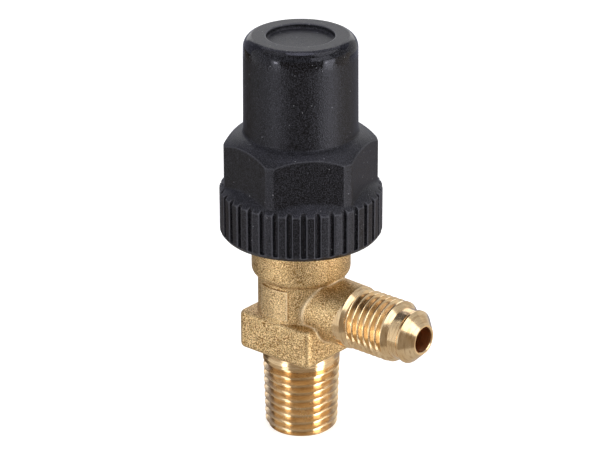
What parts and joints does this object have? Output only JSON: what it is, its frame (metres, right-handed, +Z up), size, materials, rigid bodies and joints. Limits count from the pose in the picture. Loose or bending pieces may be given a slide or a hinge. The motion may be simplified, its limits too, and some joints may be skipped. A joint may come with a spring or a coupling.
{
  "type": "capped angle valve",
  "caption": "Forged brass angle shut-off valve with a taper pipe inlet, a flare outlet, a packed rising spindle and a black moulded screw cap over the spindle.",
  "frame": {"origin": "centre of the inlet's end face, on the spindle's axis", "axes": "+Z up along the spindle, +X along the outlet, the bare pad on the -Y side"},
  "size_m": [0.0423, 0.029, 0.0752],
  "materials": {
    "forged_brass": "hot-forged and blasted, with turned threads",
    "turned_brass": "turned, bright",
    "seal_plastic": "smooth white fluoropolymer",
    "spindle_steel": "turned and plated",
    "packing": "pressed graphited rings",
    "gasket_rubber": "matte",
    "cap_plastic": "moulded glass-filled, fine grain"
  },
  "bodies": {
    "valve": {"valve_body": "forged_brass", "packing_washer": "spindle_steel", "packing_ring_lower": "packing", "packing_ring_middle": "packing", "packing_ring_upper": "packing", "gland_ring": "turned_brass", "gland_nut": "turned_brass"},
    "plug": {"seat_plug": "turned_brass", "seat_seal": "seal_plastic"},
    "spindle": {"spindle": "spindle_steel"},
    "cap_seal": {"cap_gasket": "gasket_rubber"},
    "cap": {"cap": "cap_plastic"}
  },
  "joints": [
    {"name": "spindle_lift", "type": "slide", "parent": "valve", "child": "plug", "axis": [0, 0, 1], "range_m": [0, 0.005]},
    {"name": "spindle_turn", "type": "hinge", "parent": "plug", "child": "spindle", "pos_m": [0, 0, 0.03], "axis": [0, 0, 1], "range_deg": [0, 1800.5]},
    {"name": "cap_lift", "type": "slide", "parent": "valve", "child": "cap_seal", "axis": [0, 0, 1], "range_m": [0, 0.033]},
    {"name": "cap_turn", "type": "hinge", "parent": "cap_seal", "child": "cap", "pos_m": [0, 0, 0.05], "axis": [0, 0, 1], "range_deg": [0, 7920.5]}
  ],
  "couplings": [
    {"joint": "spindle_turn", "follows": "spindle_lift", "rad_per_m": 6283.2},
    {"joint": "cap_turn", "follows": "cap_lift", "rad_per_m": 4188.8}
  ]
}
